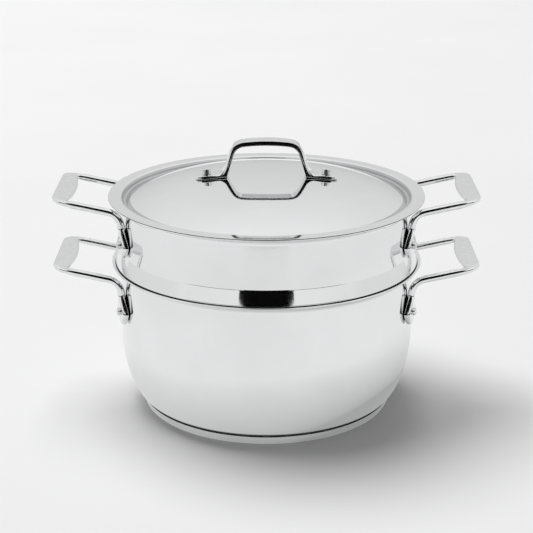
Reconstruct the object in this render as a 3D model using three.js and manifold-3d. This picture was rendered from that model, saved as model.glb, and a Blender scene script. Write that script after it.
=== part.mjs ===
// A stovetop steamer pot in polished stainless steel: a lower pot with a capped base, a perforated insert
// that sits on the pot's lip, and a domed lid with a strap handle. Two loop handles are riveted to the pot
// and two to the insert. Millimetres, +Z up, with the origin on the table under the middle of the base.

import * as THREE from "three";
import { mergeVertices } from "three/addons/utils/BufferGeometryUtils.js";
import Module from "manifold-3d";

// How finely round shapes are cut into flats
const TURN_FACETS = 40; // round the turned pieces
const RIVET_FACETS = 10;
const HOLE_FACETS = 8;
const ROD_FACETS = 8;
const ROD_STEPS = 10; // along a handle's rod
const BEND_STEP = 30; // degrees of a bend that one flat takes
const BELLY_STEPS = 6;
const DOME_STEPS = 8; // from the dome's crown to its foot
const OUTLINE_STEPS = 4; // round a corner of a handle's outline

// Clearances
const SEAT_GAP = 0.3; // between pieces that touch
const RIVET_GAP = 0.3; // round a rivet's shank in its hole
const TUB_GAP = 0.6; // between the insert's tub and the rivet tails inside the pot
const LID_GAP = 0.6; // between the lid's plug and the insert's wall
const TOE_GAP = 0.5; // between a handle's toe and the crease below it
const CUT_MARGIN = 20; // how far a cutting shape runs past what it cuts

// Lower pot
const POT_SHEET = 1.2;
const POT_WALL_RADIUS = 122; // outside
const POT_HEIGHT = 124.9; // table to the top of the lip
const BELLY_TUCK = 17.2; // how far the belly draws in from the wall to the seam
const BELLY_HEIGHT = 60.6; // seam to the straight wall
const BELLY_SWEEP = 61; // degrees of the belly's ellipse that are used
const HEEL = 0.8; // chamfer between the pot's floor and its belly

// Capped base
const BASE_HEIGHT = 8; // table to the seam
const CAP_SHEET = 0.8;
const CAP_CORNER = 4.5; // outside radius under the base
const SEAM_STEP = 0.5; // how far the cap stands back from the pot's belly

// Lips of the pot and the insert
const LIP_BEND = 6; // radius on the under side
const LIP_TURN = 80; // degrees from upright
const LIP_FLAT = 1.6; // run past the bend on the pot

// Steamer insert
const INSERT_SHEET = 1;
const INSERT_SETBACK = 1.4; // how far its wall stands back from the pot's wall
const HEM_REACH = 3.2; // how far its hem stands out past the pot's wall
const HEM_BEND = 1.3; // outside radius of the fold
const SKIRT_LEAN = 22.5; // degrees from upright
const LEDGE_BEND = 2; // radius where the tub turns out to the hem
const TUB_DEPTH = 26; // hem to the floor's under side
const TUB_CORNER = 10; // outside radius round the floor
const HOLE_DIAMETER = 8;
const HOLE_PITCH = 21; // between rings of steam holes
const HOLE_RINGS = 4;
const RING_GROWTH = 6; // holes that each ring has more than the one inside it

// Lid
const LID_SHEET = 1;
const LID_OVERHANG = 1.5; // past the lips
const RIM_BEND = 3.2; // radius where the flat rim turns down
const GUTTER_DEPTH = 5.4; // rim down to the gutter round the dome
const GUTTER_BEND = 2; // radius of the gutter
const DOME_RISE = 14.4; // rim up to the crown
const DOME_LEAN = 30; // degrees from level where the dome runs into the gutter
const CROWN_CURVE = 620; // radius of the dome's middle

// Loop handles, measured from the rivets
const ROD_DIAMETER = 6;
const HANDLE_SPREAD = 84; // between the two rods
const HANDLE_REACH = 51.6; // wall to the paddle's outer edge
const HANDLE_RISE = 24.9; // rivets up to where the rods turn out
const HANDLE_SLOPE = 12; // degrees that the loop climbs outwards
const ROD_BEND = 12; // radius at the rod's middle
const POT_HEADROOM = 8.2; // turn of the rods to the top of the pot's lip
const INSERT_HEADROOM = 5.8; // turn of the rods to the top of the insert's lip
const PADDLE_WIDTH = 11.8; // at its ends
const PADDLE_THICKNESS = 4.2;
const PADDLE_CORNER = 12.8;
const CORNER_LIMIT = 0.95; // most of the paddle's width that a corner may take
const PADDLE_BULGE = 4.4; // of the inner edge
const FOOT_WIDTH = 17.6;
const FOOT_THICKNESS = 4.7;
const FOOT_SHOULDER = 13; // rivet up to the rod
const FOOT_TOE = 11.2; // rivet down to the toe

// Rivets
const RIVET_SHANK = 4.8;
const RIVET_HEAD = 7.4;
const RIVET_CROWN = 3.4; // height of the head
const RIVET_BRIM = 2.4; // upright edge of the head
const RIVET_TAIL = 9.6; // diameter of the flat end inside
const RIVET_TAIL_HEIGHT = 1.5;
const RIVET_TAIL_CHAMFER = 0.7;

// Lid handle
const STRAP_WIDTH = 13.8;
const STRAP_THICKNESS = 3.8;
const ARCH_HEIGHT = 30.2; // crown of the lid to the top of the handle
const ARCH_SPREAD = 71.4; // outside, where the legs meet the tabs
const ARCH_CORNER = 13; // outside radius at the top
const LEG_THICKNESS = 4.4;
const LEG_LEAN = 16; // degrees from upright
const LEG_FILLET = 9; // where a leg turns out to its tab
const LEG_HEEL = 1; // under the leg, inside the arch
const TAB_THICKNESS = 2.6;
const TAB_RIVETS = 97.2; // between the two rivets
const TAB_END = 9.8; // rivet to the tab's tip
const TAB_CORNER = 4.5; // radius of its corners, seen from above
const TAB_STEPS = 4; // straight lengths that follow the dome under a tab

// Sizes that follow from those above
const rad = THREE.MathUtils.degToRad;
const rodRadius = ROD_DIAMETER / 2;
const paddleCorner = Math.min(PADDLE_CORNER, CORNER_LIMIT * PADDLE_WIDTH);
const lipTurn = rad(LIP_TURN);
const potInside = POT_WALL_RADIUS - POT_SHEET;
const insertWallRadius = POT_WALL_RADIUS - INSERT_SETBACK;
const insertInside = insertWallRadius - INSERT_SHEET;
const lipRadius = POT_WALL_RADIUS + LIP_BEND * (1 - Math.cos(lipTurn)) + LIP_FLAT * Math.sin(lipTurn);
const seamRadius = POT_WALL_RADIUS - BELLY_TUCK;
const potFloorZ = BASE_HEIGHT + SEAT_GAP;
const potLipStartZ = lipStart(POT_WALL_RADIUS, POT_HEIGHT, POT_SHEET);
const tubRadius = tailFace(potInside) - RIVET_TAIL_HEIGHT - TUB_GAP;
const hemRadius = POT_WALL_RADIUS + HEM_REACH - HEM_BEND; // middle of the fold
const hemZ = hemHeight();
const creaseZ = hemZ + HEM_BEND * Math.sin(rad(SKIRT_LEAN)) + skirtRise();
const potRivetZ = POT_HEIGHT - POT_HEADROOM - HANDLE_RISE;
const insertRivetZ = creaseZ + TOE_GAP + FOOT_TOE;
const insertTopZ = insertRivetZ + HANDLE_RISE + INSERT_HEADROOM;
const tubFloorZ = hemZ - HEM_BEND - TUB_DEPTH;
const lidRadius = lipRadius + LID_OVERHANG;
const lidRimZ = insertTopZ + SEAT_GAP + LID_SHEET;
const plugRadius = insertInside - LID_GAP - LID_SHEET; // the gutter's wall on the lid's upper side
const crownZ = lidRimZ + DOME_RISE;
const domeLean = rad(DOME_LEAN);
const gutterR = plugRadius - GUTTER_BEND; // middle of the gutter's bend
const gutterZ = lidRimZ - GUTTER_DEPTH + GUTTER_BEND;
const rimBend = Math.min(RIM_BEND, GUTTER_DEPTH - GUTTER_BEND);
const domeFootR = gutterR - GUTTER_BEND * Math.sin(domeLean);
const domeFootZ = gutterZ - GUTTER_BEND * Math.cos(domeLean);
const shoulderDrop = crownZ - domeFootR ** 2 / (2 * CROWN_CURVE) - domeFootZ;
const shoulderPower = ((Math.tan(domeLean) - domeFootR / CROWN_CURVE) * domeFootR) / shoulderDrop;

const POLISHED_STEEL = { color: 0xd6d8da, metalness: 1, roughness: 0.08 };
const CAST_STEEL = { color: 0xcfd1d3, metalness: 1, roughness: 0.14 };
const RIVET_STEEL = { color: 0xc9cbcd, metalness: 1, roughness: 0.2 };
const ALUMINIUM = { color: 0xb9bcc0, metalness: 1, roughness: 0.45 };

const wasm = await Module();
wasm.setup();

// Solids for joining and cutting

function toSolid(geometry) {
  const bare = geometry.clone();
  bare.deleteAttribute("normal");
  bare.deleteAttribute("uv");
  const welded = mergeVertices(bare, 1e-3);
  return new wasm.Manifold(
    new wasm.Mesh({
      numProp: 3,
      vertProperties: welded.attributes.position.array,
      triVerts: new Uint32Array(welded.index.array),
    }),
  );
}

function toGeometry(solid) {
  const made = solid.getMesh();
  const geometry = new THREE.BufferGeometry();
  geometry.setAttribute("position", new THREE.BufferAttribute(made.vertProperties, 3));
  geometry.setIndex(new THREE.BufferAttribute(made.triVerts, 1));
  geometry.computeVertexNormals();
  return geometry;
}

function piece(name, geometry, finish) {
  const mesh = new THREE.Mesh(geometry, new THREE.MeshStandardMaterial(finish));
  mesh.name = name;
  return mesh;
}

// Profiles of turned sheet, as radius and height

function arc(r, z, radiusR, radiusZ, from, to, steps = Math.ceil(Math.abs(to - from) / BEND_STEP)) {
  const curve = new THREE.EllipseCurve(r, z, radiusR, radiusZ, rad(from), rad(to), to < from);
  return curve.getPoints(steps);
}

function lineNormal(from, to) {
  return new THREE.Vector2(from.y - to.y, to.x - from.x).normalize();
}

// A line at a distance to the left of another, which leaves the axis square to it
function offsetLine(line, distance) {
  const last = line.length - 1;
  return line.map((point, i) => {
    const before = i > 0 ? lineNormal(line[i - 1], point) : new THREE.Vector2(0, 1);
    const after = i > 0 && i < last ? lineNormal(point, line[i + 1]) : before;
    const middle = before.clone().add(after).normalize();
    return point.clone().addScaledVector(middle, distance / middle.dot(before));
  });
}

function turned(profile, facets = TURN_FACETS) {
  return new THREE.LatheGeometry(profile, facets).rotateX(Math.PI / 2);
}

function turnedSheet(under, upper) {
  return turned([...under, ...upper.slice().reverse()]);
}

// Height at which a wall starts to bend out into its lip
function lipStart(wallRadius, topZ, sheet) {
  const bendEnd = wallRadius + LIP_BEND * (1 - Math.cos(lipTurn));
  const flatRise = (lipRadius - bendEnd) / Math.tan(lipTurn);
  return topZ - flatRise - (sheet + LIP_BEND) * Math.sin(lipTurn);
}

function lipLine(wallRadius, topZ, sheet) {
  const startZ = lipStart(wallRadius, topZ, sheet);
  const bend = arc(wallRadius + LIP_BEND, startZ, LIP_BEND, LIP_BEND, 180, 180 - LIP_TURN);
  const rim = new THREE.Vector2(lipRadius, topZ - sheet * Math.sin(lipTurn));
  return [...bend, rim];
}

// Height of the hem's fold where it lies on the pot's lip
function hemHeight() {
  const reach = LIP_BEND + POT_SHEET + SEAT_GAP + HEM_BEND;
  const across = POT_WALL_RADIUS + LIP_BEND - hemRadius;
  return potLipStartZ + Math.sqrt(reach ** 2 - across ** 2);
}

function skirtRise() {
  const lean = rad(SKIRT_LEAN);
  return (hemRadius + HEM_BEND * Math.cos(lean) - insertWallRadius) / Math.tan(lean);
}

// Height of the dome's upper side: nearly a ball in the middle, then ever steeper down to its foot
function domeZ(radius) {
  return crownZ - radius ** 2 / (2 * CROWN_CURVE) - shoulderDrop * (radius / domeFootR) ** shoulderPower;
}

function domeSlope(radius) {
  const shoulder = (shoulderDrop * shoulderPower) / domeFootR;
  return radius / CROWN_CURVE + shoulder * (radius / domeFootR) ** (shoulderPower - 1);
}

// Rivets. A rivet lies along X, at its distance from the pot's axis.

// The flat face of a tail against the inside of a faceted wall
function tailFace(insideRadius) {
  const facetRadius = insideRadius * Math.cos(Math.PI / TURN_FACETS);
  return Math.sqrt(facetRadius ** 2 - (RIVET_TAIL / 2) ** 2) - SEAT_GAP;
}

function rivet(tailX, headX) {
  const head = RIVET_HEAD / 2;
  const tail = RIVET_TAIL / 2;
  const profile = [
    new THREE.Vector2(0, tailX - RIVET_TAIL_HEIGHT),
    new THREE.Vector2(tail - RIVET_TAIL_CHAMFER, tailX - RIVET_TAIL_HEIGHT),
    new THREE.Vector2(tail, tailX - RIVET_TAIL_HEIGHT + RIVET_TAIL_CHAMFER),
    new THREE.Vector2(tail, tailX),
    new THREE.Vector2(RIVET_SHANK / 2, tailX),
    new THREE.Vector2(RIVET_SHANK / 2, headX),
    new THREE.Vector2(head, headX),
    ...arc(0, headX + RIVET_BRIM, head, RIVET_CROWN - RIVET_BRIM, 0, 90),
  ];
  return new THREE.LatheGeometry(profile, RIVET_FACETS).rotateZ(-Math.PI / 2);
}

// A hole for a rivet, through everything on one side of the axis
function rivetHole(length) {
  const radius = RIVET_SHANK / 2 + RIVET_GAP;
  return new THREE.CylinderGeometry(radius, radius, length, RIVET_FACETS)
    .rotateZ(-Math.PI / 2)
    .translate(length / 2, 0, 0);
}

// Angle round the pot's axis at which a handle's rivets lie
function rivetAngle(wallRadius) {
  return Math.asin(HANDLE_SPREAD / 2 / wallRadius);
}

function rivetAngles(wallRadius) {
  const angle = rivetAngle(wallRadius);
  return [angle, -angle, Math.PI + angle, Math.PI - angle];
}

function drilledWall(geometry, wallRadius, rivetZ) {
  let wall = toSolid(geometry);
  for (const angle of rivetAngles(wallRadius)) {
    const hole = rivetHole(wallRadius + CUT_MARGIN).rotateZ(angle).translate(0, 0, rivetZ);
    wall = wall.subtract(toSolid(hole));
  }
  return wall;
}

// Lower pot

function potBody() {
  const tuckSweep = rad(BELLY_SWEEP);
  const bellyR = BELLY_TUCK / (1 - Math.cos(tuckSweep));
  const bellyZ = BELLY_HEIGHT / Math.sin(tuckSweep);
  const bellyTopZ = potFloorZ + HEEL + BELLY_HEIGHT;
  const under = [
    new THREE.Vector2(0, potFloorZ),
    new THREE.Vector2(seamRadius - HEEL, potFloorZ),
    ...arc(POT_WALL_RADIUS - bellyR, bellyTopZ, bellyR, bellyZ, -BELLY_SWEEP, 0, BELLY_STEPS),
    ...lipLine(POT_WALL_RADIUS, POT_HEIGHT, POT_SHEET),
  ];
  const shell = turnedSheet(under, offsetLine(under, POT_SHEET));
  return toGeometry(drilledWall(shell, POT_WALL_RADIUS, potRivetZ));
}

function baseCap() {
  const radius = seamRadius - SEAM_STEP;
  const under = [
    new THREE.Vector2(0, 0),
    ...arc(radius - CAP_CORNER, CAP_CORNER, CAP_CORNER, CAP_CORNER, -90, 0),
    new THREE.Vector2(radius, BASE_HEIGHT),
  ];
  return turnedSheet(under, offsetLine(under, CAP_SHEET));
}

function baseCore() {
  const radius = seamRadius - SEAM_STEP - CAP_SHEET - SEAT_GAP;
  const bottomZ = CAP_SHEET + SEAT_GAP;
  const corner = CAP_CORNER - CAP_SHEET;
  return turned([
    new THREE.Vector2(0, bottomZ),
    ...arc(radius - corner, bottomZ + corner, corner, corner, -90, 0),
    new THREE.Vector2(radius, potFloorZ - SEAT_GAP),
    new THREE.Vector2(0, potFloorZ - SEAT_GAP),
  ]);
}

// Steamer insert

function insertShell() {
  const ledgeZ = hemZ - HEM_BEND;
  const under = [
    new THREE.Vector2(0, tubFloorZ),
    ...arc(tubRadius - TUB_CORNER, tubFloorZ + TUB_CORNER, TUB_CORNER, TUB_CORNER, -90, 0),
    ...arc(tubRadius + LEDGE_BEND, ledgeZ - LEDGE_BEND, LEDGE_BEND, LEDGE_BEND, 180, 90),
    ...arc(hemRadius, hemZ, HEM_BEND, HEM_BEND, -90, SKIRT_LEAN),
    new THREE.Vector2(insertWallRadius, creaseZ),
    ...lipLine(insertWallRadius, insertTopZ, INSERT_SHEET),
  ];
  return turnedSheet(under, offsetLine(under, INSERT_SHEET));
}

function steamHole(radius, angle) {
  const length = INSERT_SHEET + CUT_MARGIN;
  return new THREE.CylinderGeometry(HOLE_DIAMETER / 2, HOLE_DIAMETER / 2, length, HOLE_FACETS)
    .rotateX(Math.PI / 2)
    .translate(radius, 0, tubFloorZ)
    .rotateZ(angle);
}

function insertBody() {
  let body = drilledWall(insertShell(), insertWallRadius, insertRivetZ);
  body = body.subtract(toSolid(steamHole(0, 0)));
  for (let ring = 1; ring <= HOLE_RINGS; ring += 1) {
    const count = RING_GROWTH * ring;
    for (let i = 0; i < count; i += 1) {
      const hole = steamHole(ring * HOLE_PITCH, (2 * Math.PI * i) / count);
      body = body.subtract(toSolid(hole));
    }
  }
  return toGeometry(body);
}

// Loop handles, on the +X side of the axis with the rivets at height 0

// The band between the wall and the outer faces of the feet
function footBand(wallRadius) {
  const inner = wallRadius + SEAT_GAP;
  const outer = inner + FOOT_THICKNESS;
  return turned([
    new THREE.Vector2(inner, -FOOT_TOE - CUT_MARGIN),
    new THREE.Vector2(outer, -FOOT_TOE - CUT_MARGIN),
    new THREE.Vector2(outer, FOOT_SHOULDER + CUT_MARGIN),
    new THREE.Vector2(inner, FOOT_SHOULDER + CUT_MARGIN),
    new THREE.Vector2(inner, -FOOT_TOE - CUT_MARGIN),
  ]);
}

// One spade-shaped foot, seen along X: a round toe, widest at the rivet, tapering up to the rod
function footOutline() {
  const half = FOOT_WIDTH / 2;
  const spade = new THREE.Shape();
  spade.moveTo(rodRadius, FOOT_SHOULDER);
  spade.lineTo(-rodRadius, FOOT_SHOULDER);
  spade.lineTo(-half, 0);
  spade.absellipse(0, 0, half, FOOT_TOE, Math.PI, 2 * Math.PI, false);
  spade.closePath();
  return spade;
}

// A foot drawn out along X, past both faces of the band
function foot(side) {
  const spade = new THREE.ExtrudeGeometry(footOutline(), {
    depth: POT_WALL_RADIUS + CUT_MARGIN,
    bevelEnabled: false,
    curveSegments: OUTLINE_STEPS,
  });
  // The outline's X becomes Y, its Y becomes Z and its depth runs along X
  spade.rotateX(Math.PI / 2);
  spade.rotateZ(Math.PI / 2);
  return spade.translate(0, (side * HANDLE_SPREAD) / 2, 0);
}

// Distance of an upright rod from the YZ plane, where it lies against the wall
function rodX(wallRadius) {
  const centre = wallRadius + SEAT_GAP + rodRadius;
  return Math.sqrt(centre ** 2 - (HANDLE_SPREAD / 2) ** 2);
}

function rodPath(wallRadius, y, endX) {
  const slope = rad(HANDLE_SLOPE);
  const turn = Math.PI / 2 - slope;
  const run = ROD_BEND * Math.tan(turn / 2);
  const corner = new THREE.Vector3(rodX(wallRadius), y, HANDLE_RISE);
  const up = new THREE.Vector3(0, 0, 1);
  const out = new THREE.Vector3(Math.cos(slope), 0, Math.sin(slope));
  const bendStart = corner.clone().addScaledVector(up, -run);
  const bendEnd = corner.clone().addScaledVector(out, run);
  const pull = (4 / 3) * Math.tan(turn / 4) * ROD_BEND;
  const start = corner.clone().setZ(RIVET_HEAD / 2 + rodRadius);
  const end = corner.clone().addScaledVector(out, (endX - corner.x) / Math.cos(slope));
  const path = new THREE.CurvePath();
  path.add(new THREE.LineCurve3(start, bendStart));
  path.add(
    new THREE.CubicBezierCurve3(
      bendStart,
      bendStart.clone().addScaledVector(up, pull),
      bendEnd.clone().addScaledVector(out, -pull),
      bendEnd,
    ),
  );
  path.add(new THREE.LineCurve3(bendEnd, end));
  return path;
}

function rod(wallRadius, y, endX) {
  const section = new THREE.Shape().absarc(0, 0, rodRadius, 0, 2 * Math.PI, false);
  return new THREE.ExtrudeGeometry(section, {
    extrudePath: rodPath(wallRadius, y, endX),
    steps: ROD_STEPS,
    curveSegments: ROD_FACETS / 2,
  });
}

// The flat thumb rest, lying in the sloping plane of the two rods
function paddle(wallRadius) {
  const slope = rad(HANDLE_SLOPE);
  const startX = rodX(wallRadius);
  const outer = (wallRadius + HANDLE_REACH - startX) / Math.cos(slope);
  const inner = outer - PADDLE_WIDTH;
  const half = HANDLE_SPREAD / 2 + rodRadius;
  const outline = new THREE.Shape();
  outline.absarc(outer - paddleCorner, -half + paddleCorner, paddleCorner, -Math.PI / 2, 0, false);
  outline.absarc(outer - paddleCorner, half - paddleCorner, paddleCorner, 0, Math.PI / 2, false);
  outline.lineTo(inner, half);
  outline.quadraticCurveTo(inner - 2 * PADDLE_BULGE, 0, inner, -half);
  return new THREE.ExtrudeGeometry(outline, {
    depth: PADDLE_THICKNESS,
    bevelEnabled: false,
    curveSegments: OUTLINE_STEPS,
  })
    .translate(0, 0, -PADDLE_THICKNESS / 2)
    .rotateY(-slope)
    .translate(startX, 0, HANDLE_RISE);
}

function loopHandle(wallRadius) {
  const rodEndX = wallRadius + HANDLE_REACH - paddleCorner * Math.cos(rad(HANDLE_SLOPE));
  const band = toSolid(footBand(wallRadius));
  let loop = toSolid(paddle(wallRadius));
  for (const side of [1, -1]) {
    const arm = rod(wallRadius, (side * HANDLE_SPREAD) / 2, rodEndX);
    const hole = rivetHole(wallRadius + CUT_MARGIN).rotateZ(side * rivetAngle(wallRadius));
    const drilledFoot = toSolid(foot(side)).intersect(band).subtract(toSolid(hole));
    loop = loop.add(toSolid(arm)).add(drilledFoot);
  }
  return toGeometry(loop);
}

// A pair of handles with their rivets, at the height of the rivets
function handlePair(prefix, wallRadius, insideRadius, rivetZ) {
  const group = new THREE.Group();
  const headX = wallRadius + FOOT_THICKNESS + 2 * SEAT_GAP;
  const sides = { right: 0, left: Math.PI };
  const ends = { front: -1, rear: 1 };
  for (const [side, turn] of Object.entries(sides)) {
    const handle = piece(`${prefix}_handle_${side}`, loopHandle(wallRadius), CAST_STEEL);
    handle.rotation.z = turn;
    group.add(handle);
    for (const [end, sign] of Object.entries(ends)) {
      const pin = rivet(tailFace(insideRadius), headX);
      const mesh = piece(`${prefix}_rivet_${side}_${end}`, pin, RIVET_STEEL);
      const lean = sign * rivetAngle(wallRadius);
      mesh.rotation.z = side === "right" ? lean : turn - lean;
      group.add(mesh);
    }
  }
  group.position.z = rivetZ;
  return group;
}

// Lid

function lidShell() {
  // Points on the dome lie closer together towards its foot
  const dome = Array.from({ length: DOME_STEPS }, (_, i) => {
    const radius = domeFootR * Math.sqrt(i / DOME_STEPS);
    return new THREE.Vector2(radius, domeZ(radius));
  });
  const upper = [
    ...dome,
    ...arc(gutterR, gutterZ, GUTTER_BEND, GUTTER_BEND, -90 - DOME_LEAN, 0),
    ...arc(plugRadius + rimBend, lidRimZ - rimBend, rimBend, rimBend, 180, 90),
    new THREE.Vector2(lidRadius, lidRimZ),
  ];
  let shell = toSolid(turnedSheet(offsetLine(upper, -LID_SHEET), upper));
  for (const side of [1, -1]) {
    shell = shell.subtract(toSolid(lidRivetHole(side)));
  }
  return toGeometry(shell);
}

// Turns a shape that lies along X, with the dome's upper side at 0, to stand square on the dome at a rivet
function placedOnDome(geometry, side) {
  const x = TAB_RIVETS / 2;
  const lean = Math.atan(domeSlope(x));
  return geometry.rotateY(-Math.PI / 2 + side * lean).translate(side * x, 0, domeZ(x));
}

function lidRivetHole(side) {
  return placedOnDome(rivetHole(2 * CUT_MARGIN).translate(-CUT_MARGIN, 0, 0), side);
}

function lidRivet(side) {
  return placedOnDome(rivet(-LID_SHEET - SEAT_GAP, TAB_THICKNESS + 2 * SEAT_GAP), side);
}

// Corner points with a radius each, turned into an outline with round corners
function roundedOutline(corners) {
  const points = corners.flatMap(({ x, z, radius }, i) => {
    const here = new THREE.Vector2(x, z);
    if (!radius) return [here];
    const past = corners[(i + corners.length - 1) % corners.length];
    const next = corners[(i + 1) % corners.length];
    const back = new THREE.Vector2(past.x - x, past.z - z).normalize();
    const ahead = new THREE.Vector2(next.x - x, next.z - z).normalize();
    const half = Math.acos(THREE.MathUtils.clamp(back.dot(ahead), -1, 1)) / 2;
    const run = radius / Math.tan(half);
    const from = here.clone().addScaledVector(back, run);
    const to = here.clone().addScaledVector(ahead, run);
    return new THREE.QuadraticBezierCurve(from, here, to).getPoints(OUTLINE_STEPS);
  });
  return new THREE.Shape(points);
}

// One side of the strap's outline, from the arch's top down its outer face, along the tab and back up inside
function strapSide(side) {
  const lean = Math.tan(rad(LEG_LEAN));
  const topZ = crownZ + ARCH_HEIGHT;
  const footX = ARCH_SPREAD / 2;
  const tipX = TAB_RIVETS / 2 + TAB_END;
  const tabZ = (x) => domeZ(x) + SEAT_GAP;
  const legFootZ = tabZ(footX) + TAB_THICKNESS;
  const legX = (z) => footX - (z - legFootZ) * lean;
  const legAcross = LEG_THICKNESS / Math.cos(rad(LEG_LEAN));
  const innerFootX = footX - legAcross;
  const under = Array.from({ length: TAB_STEPS + 1 }, (_, i) => {
    const x = tipX + ((innerFootX - tipX) * i) / TAB_STEPS;
    return { x, z: tabZ(x), radius: i === TAB_STEPS ? LEG_HEEL : 0 };
  });
  const outer = [
    { x: legX(topZ), z: topZ, radius: ARCH_CORNER },
    { x: footX, z: legFootZ, radius: LEG_FILLET },
    { x: tipX, z: tabZ(tipX) + TAB_THICKNESS, radius: 0 },
  ];
  const innerTopZ = topZ - STRAP_THICKNESS;
  const inner = [
    { x: legX(innerTopZ) - legAcross, z: innerTopZ, radius: ARCH_CORNER - STRAP_THICKNESS },
  ];
  return [...outer, ...under, ...inner].map((corner) => ({ ...corner, x: side * corner.x }));
}

function lidHandle() {
  const outline = roundedOutline([...strapSide(1), ...strapSide(-1).reverse()]);
  const strap = new THREE.ExtrudeGeometry(outline, { depth: STRAP_WIDTH, bevelEnabled: false })
    .rotateX(Math.PI / 2)
    .translate(0, STRAP_WIDTH / 2, 0);
  // The tabs' corners are round when seen from above
  const cornerX = TAB_RIVETS / 2 + TAB_END - TAB_CORNER;
  const cornerY = STRAP_WIDTH / 2 - TAB_CORNER;
  const plan = new THREE.Shape();
  plan.absarc(cornerX, -cornerY, TAB_CORNER, -Math.PI / 2, 0, false);
  plan.absarc(cornerX, cornerY, TAB_CORNER, 0, Math.PI / 2, false);
  plan.absarc(-cornerX, cornerY, TAB_CORNER, Math.PI / 2, Math.PI, false);
  plan.absarc(-cornerX, -cornerY, TAB_CORNER, Math.PI, (3 * Math.PI) / 2, false);
  plan.closePath();
  const column = new THREE.ExtrudeGeometry(plan, {
    depth: crownZ + ARCH_HEIGHT + CUT_MARGIN,
    bevelEnabled: false,
    curveSegments: OUTLINE_STEPS,
  });
  let handle = toSolid(strap).intersect(toSolid(column));
  for (const side of [1, -1]) {
    handle = handle.subtract(toSolid(lidRivetHole(side)));
  }
  return toGeometry(handle);
}

// Assembly

const pot = new THREE.Group();
pot.add(piece("pot_body", potBody(), POLISHED_STEEL));
pot.add(piece("base_core", baseCore(), ALUMINIUM));
pot.add(piece("base_cap", baseCap(), POLISHED_STEEL));
pot.add(handlePair("pot", POT_WALL_RADIUS, potInside, potRivetZ));

const insert = new THREE.Group();
insert.add(piece("insert_body", insertBody(), POLISHED_STEEL));
insert.add(handlePair("insert", insertWallRadius, insertInside, insertRivetZ));

const lid = new THREE.Group();
lid.add(piece("lid_shell", lidShell(), POLISHED_STEEL));
lid.add(piece("lid_handle", lidHandle(), CAST_STEEL));
lid.add(piece("lid_rivet_right", lidRivet(1), RIVET_STEEL));
lid.add(piece("lid_rivet_left", lidRivet(-1), RIVET_STEEL));

const steamerPot = new THREE.Group();
steamerPot.add(pot, insert, lid);

export default steamerPot;
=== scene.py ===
from math import asin, atan, atan2, ceil, cos, copysign, pi, radians, sin, sqrt, tan

import bpy
from mathutils import Matrix, Vector


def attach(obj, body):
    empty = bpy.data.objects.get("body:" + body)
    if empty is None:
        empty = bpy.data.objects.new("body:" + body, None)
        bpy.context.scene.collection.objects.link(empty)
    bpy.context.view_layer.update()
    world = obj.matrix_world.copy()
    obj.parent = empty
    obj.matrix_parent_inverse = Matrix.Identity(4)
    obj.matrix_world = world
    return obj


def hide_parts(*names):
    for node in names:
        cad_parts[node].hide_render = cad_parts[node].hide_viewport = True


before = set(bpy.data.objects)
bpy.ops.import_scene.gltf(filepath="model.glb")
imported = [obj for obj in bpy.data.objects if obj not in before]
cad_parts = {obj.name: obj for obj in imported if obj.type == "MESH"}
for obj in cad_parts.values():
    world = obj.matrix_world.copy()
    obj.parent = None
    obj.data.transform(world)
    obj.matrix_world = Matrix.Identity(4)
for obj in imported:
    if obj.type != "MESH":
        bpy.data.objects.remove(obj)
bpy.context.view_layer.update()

# A stovetop steamer pot in polished stainless steel: a lower pot on a capped base, a perforated insert on
# the pot's lip and a domed lid. Sizes are in millimetres, turned profiles are lists of radius and height,
# and the meshes are in metres with their origin on the table under the middle of the base.
MM = 0.001

# How finely the metal is modelled
TURN_STEPS = 192  # round the turned pieces
RIVET_STEPS = 40
HOLE_STEPS = 32
BEND_STEP = 6  # degrees of a bend that one facet takes
BELLY_STEPS = 40
DOME_STEPS = 40
EDGE_STEPS = 6  # round the edge of a sheet
RING_POINTS = 16  # round a cast handle, before it is subdivided
CAST_LEVELS = 2
RING_SHRINK = (2 + cos(2 * pi / RING_POINTS)) / 3  # of a ring of that many points when it is subdivided

# Clearances
SEAT_GAP = 0.3
TUB_GAP = 0.6
LID_GAP = 0.6
TOE_GAP = 0.5

# Lower pot
POT_SHEET = 1.2
POT_WALL_RADIUS = 122
POT_HEIGHT = 124.9
BELLY_TUCK = 17.2
BELLY_HEIGHT = 60.6
BELLY_SWEEP = 73  # degrees of the belly's ellipse
HEEL = 0.8

# Capped base
BASE_HEIGHT = 8
CAP_SHEET = 0.8
CAP_CORNER = 5
SEAM_STEP = 0.5
SEAM_GROOVE = 0.9  # how far the cap's edge is rolled down from the seam

# Lips
LIP_BEND = 6
LIP_TURN = 80  # degrees from upright
LIP_FLAT = 1.6

# Steamer insert
INSERT_SHEET = 1
INSERT_SETBACK = 1.4
HEM_REACH = 3.2
HEM_BEND = 1.3
SKIRT_LEAN = 22.5  # degrees from upright
CREASE_BEND = 1.6  # radius where the skirt meets the wall
LEDGE_BEND = 2
TUB_DEPTH = 26
TUB_CORNER = 10
HOLE_DIAMETER = 8
HOLE_FLARE = 0.35  # rounding of a hole's edges
HOLE_PITCH = 21
HOLE_RINGS = 4
RING_GROWTH = 6  # holes that each ring has more than the one inside it

# Lid
LID_SHEET = 1
LID_OVERHANG = 1.5
RIM_BEND = 3.2
GUTTER_DEPTH = 5.4
GUTTER_BEND = 2
DOME_RISE = 14.4
DOME_LEAN = 30  # degrees from level where the dome runs into the gutter
CROWN_CURVE = 620

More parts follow.
